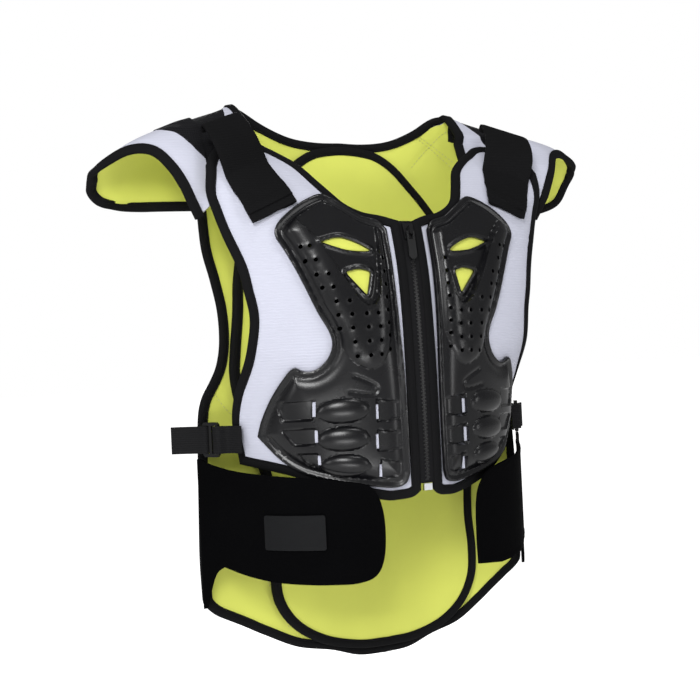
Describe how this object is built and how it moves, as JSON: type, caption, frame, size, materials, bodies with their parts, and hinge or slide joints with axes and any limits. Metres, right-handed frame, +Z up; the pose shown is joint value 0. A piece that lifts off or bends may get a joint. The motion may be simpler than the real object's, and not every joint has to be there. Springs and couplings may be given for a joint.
{
  "type": "motorcycle body protector",
  "caption": "Sleeveless padded armour vest for a young rider, with moulded chest plates, a front zip, shoulder straps, sleeve caps and a wide waist belt.",
  "frame": {"origin": "on the middle plane between the shoulders, at the height and depth where the vest rests on them", "axes": "+X to the wearer's left, -Y to the front, +Z up"},
  "size_m": [0.5275, 0.1606, 0.5525],
  "materials": {
    "white_foam": "matt ribbed knit on foam, lime inside",
    "lime_foam": "matt brushed cloth on foam",
    "black_tape": "matt woven binding",
    "black_mesh": "open knit",
    "black_plate": "satin moulded",
    "black_elastic": "ribbed woven elastic",
    "black_webbing": "woven",
    "black_plastic": "satin moulded",
    "grey_patch": "matt sheet",
    "zip_tape": "woven",
    "zip_metal": "plain"
  },
  "bodies": {
    "vest": {"back_panel": "white_foam", "back_edge_tape": "black_tape", "neck_tape": "black_tape", "back_pad": "lime_foam", "pad_tape": "black_tape", "belt_patch": "grey_patch", "zip_teeth": "black_plastic", "zip_slider": "black_plastic", "zip_end_stop": "zip_metal", "shoulder_mesh_left": "black_mesh", "shoulder_cap_left": "white_foam", "cap_tape_left": "black_tape", "front_panel_left": "white_foam", "front_tape_left": "black_tape", "chest_plate_left": "black_plate", "shoulder_strap_left": "black_elastic", "belt_flap_left": "black_elastic", "zip_tape_left": "zip_tape", "side_tab_left": "black_webbing", "side_lock_left": "black_plastic", "side_webbing_left": "black_webbing", "shoulder_mesh_right": "black_mesh", "shoulder_cap_right": "white_foam", "cap_tape_right": "black_tape", "front_panel_right": "white_foam", "front_tape_right": "black_tape", "chest_plate_right": "black_plate", "shoulder_strap_right": "black_elastic", "belt_flap_right": "black_elastic", "zip_tape_right": "zip_tape", "side_tab_right": "black_webbing", "side_lock_right": "black_plastic", "side_webbing_right": "black_webbing"},
    "pull": {"zip_pull": "black_plastic"}
  },
  "joints": [
    {"name": "pull_hinge", "type": "hinge", "parent": "vest", "child": "pull", "pos_m": [0, -0.1323, -0.12143], "axis": [-1, 0, 0], "range_deg": [0, 130]}
  ]
}
